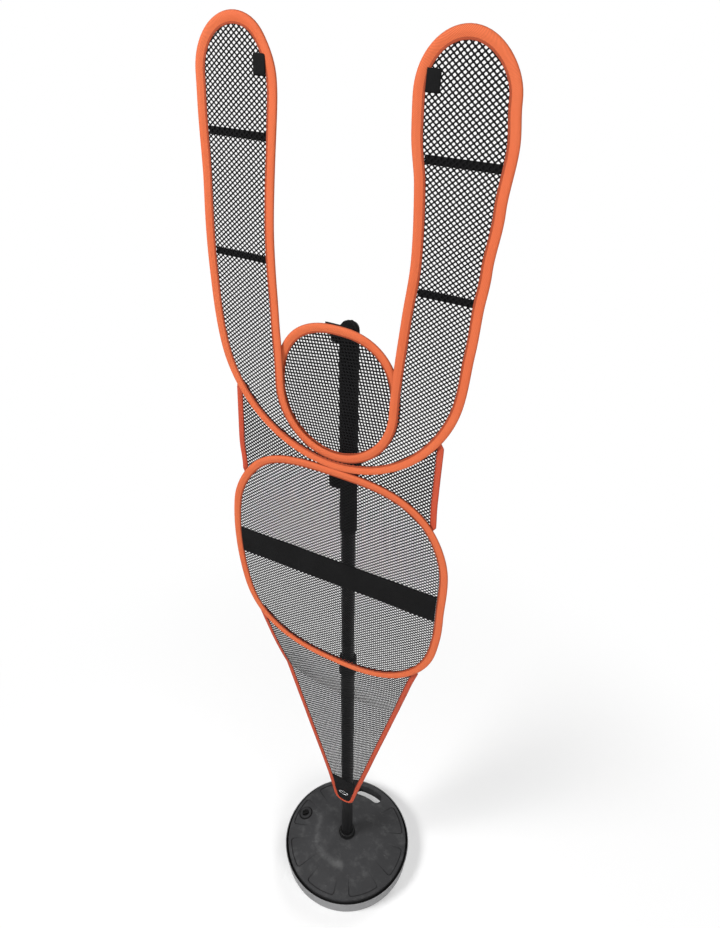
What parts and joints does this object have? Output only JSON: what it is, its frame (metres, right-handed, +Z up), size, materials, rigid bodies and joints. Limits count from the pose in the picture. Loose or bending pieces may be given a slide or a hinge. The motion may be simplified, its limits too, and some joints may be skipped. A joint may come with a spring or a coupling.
{
  "type": "basketball defensive mannequin",
  "caption": "Life-size mesh figure with raised arms on a telescoping pole in a fillable round base, for practice.",
  "frame": {"origin": "on the floor, on the pole's axis, under the middle of the round base", "axes": "+Z up the pole, the figure's front faces -Y, +X to the viewer's right when facing the front"},
  "size_m": [0.5094, 0.4, 2.3256],
  "materials": {
    "binding_tape": "matte",
    "panel_piping": "matte",
    "mesh_cloth": "matte",
    "black_webbing": "matte",
    "ring_steel": "satin",
    "pole_paint": "satin",
    "pole_plastic": "matte",
    "base_plastic": "matte",
    "cap_plastic": "matte"
  },
  "bodies": {
    "base": {"base_pan": "base_plastic", "base_lid": "base_plastic"},
    "cap": {"fill_cap": "cap_plastic"},
    "lower_pole": {"lower_tube": "pole_paint", "foot_ferrule": "pole_plastic"},
    "twist_lock": {"lock_collar": "pole_plastic"},
    "upper_pole": {"upper_tube": "pole_paint", "end_cap": "pole_plastic"},
    "figure": {"arms_binding": "binding_tape", "arm_net_right": "mesh_cloth", "arm_net_left": "mesh_cloth", "arm_strap_upper_right": "black_webbing", "arm_strap_upper_left": "black_webbing", "arm_strap_lower_right": "black_webbing", "arm_strap_lower_left": "black_webbing", "hand_tab_right": "black_webbing", "hand_tab_left": "black_webbing", "head_binding": "binding_tape", "head_net": "mesh_cloth", "torso_binding": "binding_tape", "torso_net": "mesh_cloth", "torso_band": "black_webbing", "yoke_piping": "panel_piping", "yoke_net": "mesh_cloth", "tail_piping": "panel_piping", "tail_net": "mesh_cloth", "point_patch": "black_webbing", "pole_loop": "black_webbing", "point_ring": "ring_steel", "pole_sleeve": "black_webbing", "sleeve_anchor": "black_webbing", "crown_strap": "black_webbing"}
  },
  "joints": [
    {"name": "cap_lift", "type": "slide", "parent": "base", "child": "cap", "axis": [-0.2236, 0, 0.9747], "range_m": [0, 0.03]},
    {"name": "pole_lift", "type": "slide", "parent": "base", "child": "lower_pole", "axis": [0, 0, 1], "range_m": [0, 0.1]},
    {"name": "lock_turn", "type": "hinge", "parent": "lower_pole", "child": "twist_lock", "pos_m": [0, 0, 0.985], "axis": [0, 0, 1], "range_deg": [0, 90]},
    {"name": "height_slide", "type": "slide", "parent": "lower_pole", "child": "upper_pole", "axis": [0, 0, 1], "range_m": [-0.1, 0.4]},
    {"name": "figure_turn", "type": "hinge", "parent": "upper_pole", "child": "figure", "pos_m": [0, 0, 1.8892], "axis": [0, 0, 1], "continuous": true}
  ]
}
